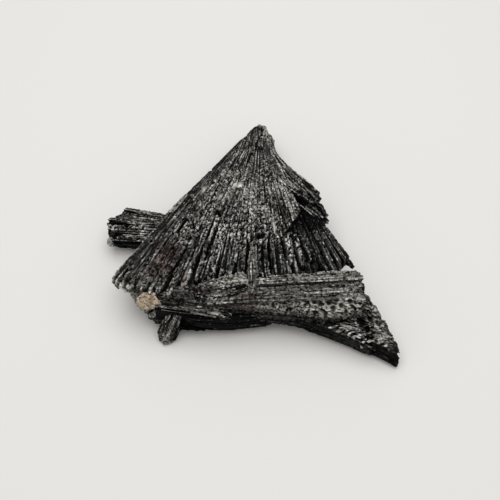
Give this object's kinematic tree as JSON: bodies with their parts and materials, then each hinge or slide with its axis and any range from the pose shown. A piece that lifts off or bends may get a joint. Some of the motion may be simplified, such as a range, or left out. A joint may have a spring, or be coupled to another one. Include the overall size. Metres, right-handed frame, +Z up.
{
  "type": "black kyanite fan",
  "caption": "Mineral specimen: dark bladed crystal sprays fanning out from one apex, with a crossing spray, a side sheaf and small pale grains, lying on a table.",
  "frame": {"origin": "under the middle of the specimen's box, on the surface that it lies on", "axes": "+Z up, +Y to the back, where the big spray's apex is, +X to the right, where the crossing spray ends in a point"},
  "size_m": [0.1062, 0.0982, 0.0254],
  "materials": {
    "kyanite": "dark grey to black bladed crystal, fine striae along the blades, dull to silvery, small pits and grey dusty patches",
    "tan_matrix": "rough tan to pinkish grain of matrix, matt",
    "pale_quartz": "rough pale greenish white grain, slightly glassy"
  },
  "bodies": {
    "root": {"kyanite_fan": "kyanite", "matrix_grain": "tan_matrix", "quartz_grain": "pale_quartz"}
  },
  "joints": []
}
